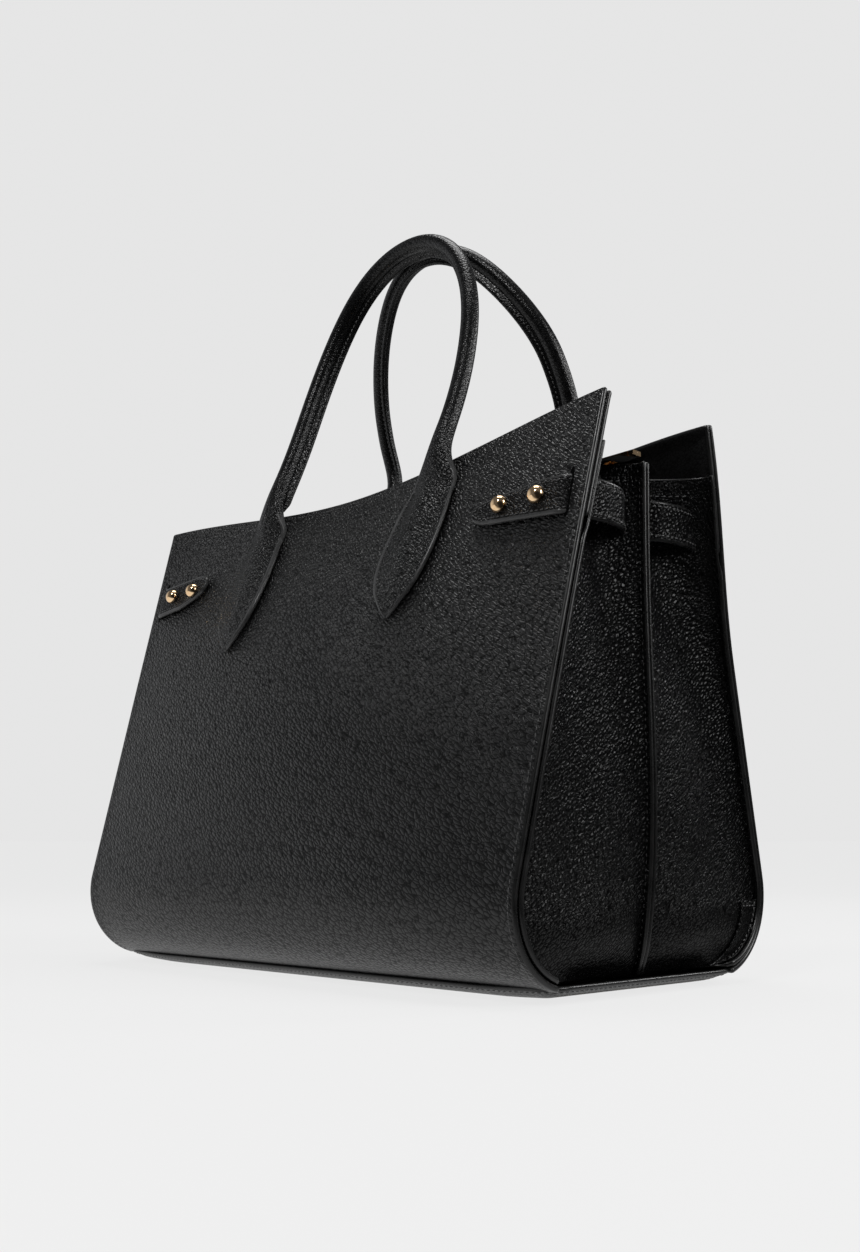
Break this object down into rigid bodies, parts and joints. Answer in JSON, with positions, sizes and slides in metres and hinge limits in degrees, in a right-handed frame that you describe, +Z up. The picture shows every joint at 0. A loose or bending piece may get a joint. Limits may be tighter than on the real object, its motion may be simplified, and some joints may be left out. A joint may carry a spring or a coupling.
{
  "type": "tote bag",
  "caption": "Structured leather tote bag with flared wings, folded side gussets, rolled arch handles, side straps with ball studs and a metal zip, standing closed.",
  "frame": {"origin": "on the floor, under the middle of the base", "axes": "+X along the width towards the bag's right side as seen from the front, +Y from the front panel to the rear panel, +Z up"},
  "size_m": [0.3632, 0.1898, 0.4313],
  "materials": {
    "black_leather": "black pebbled leather, satin, with painted edges and tone-on-tone stitching",
    "grey_board": "plain fibre board",
    "black_lining": "smooth woven lining",
    "black_tape": "woven zip tape",
    "pale_cord": "twisted cotton cord",
    "pale_gold": "polished pale gold plating"
  },
  "bodies": {
    "bag": {"front_panel": "black_leather", "rear_panel": "black_leather", "front_facing": "black_leather", "rear_facing": "black_leather", "right_front_gusset": "black_leather", "right_rear_gusset": "black_leather", "left_front_gusset": "black_leather", "left_rear_gusset": "black_leather", "base_panel": "black_leather", "front_zip_facing": "black_leather", "rear_zip_facing": "black_leather", "right_side_strap": "black_leather", "left_side_strap": "black_leather", "front_right_corner_patch": "black_leather", "front_left_corner_patch": "black_leather", "rear_right_corner_patch": "black_leather", "rear_left_corner_patch": "black_leather", "front_right_handle_leaf": "black_leather", "front_left_handle_leaf": "black_leather", "rear_right_handle_leaf": "black_leather", "rear_left_handle_leaf": "black_leather", "front_stiffener": "grey_board", "rear_stiffener": "grey_board", "base_board": "grey_board", "lining": "black_lining", "front_zip_tape": "black_tape", "rear_zip_tape": "black_tape", "front_right_inner_stud": "pale_gold", "front_right_outer_stud": "pale_gold", "front_left_inner_stud": "pale_gold", "front_left_outer_stud": "pale_gold", "rear_right_inner_stud": "pale_gold", "rear_right_outer_stud": "pale_gold", "rear_left_inner_stud": "pale_gold", "rear_left_outer_stud": "pale_gold", "front_right_inner_washer": "pale_gold", "front_right_outer_washer": "pale_gold", "front_left_inner_washer": "pale_gold", "front_left_outer_washer": "pale_gold", "rear_right_inner_washer": "pale_gold", "rear_right_outer_washer": "pale_gold", "rear_left_inner_washer": "pale_gold", "rear_left_outer_washer": "pale_gold", "front_zip_teeth": "pale_gold", "rear_zip_teeth": "pale_gold", "right_zip_stop": "pale_gold", "left_zip_stop": "pale_gold"},
    "front_handle": {"front_handle_cover": "black_leather", "front_handle_core": "pale_cord"},
    "rear_handle": {"rear_handle_cover": "black_leather", "rear_handle_core": "pale_cord"},
    "slider": {"zip_slider": "pale_gold"},
    "puller": {"zip_puller": "pale_gold"}
  },
  "joints": [
    {"name": "front_handle_fold", "type": "hinge", "parent": "bag", "child": "front_handle", "pos_m": [0, -0.04033, 0.266], "axis": [1, 0, 0], "range_deg": [0, 110]},
    {"name": "rear_handle_fold", "type": "hinge", "parent": "bag", "child": "rear_handle", "pos_m": [0, 0.04581, 0.266], "axis": [-1, 0, 0], "range_deg": [0, 90]},
    {"name": "zip_travel", "type": "slide", "parent": "bag", "child": "slider", "axis": [1, 0, 0], "range_m": [0, 0.3]},
    {"name": "puller_flip", "type": "hinge", "parent": "slider", "child": "puller", "pos_m": [-0.152, 0, 0.2564], "axis": [0, -1, 0], "range_deg": [0, 180]}
  ]
}
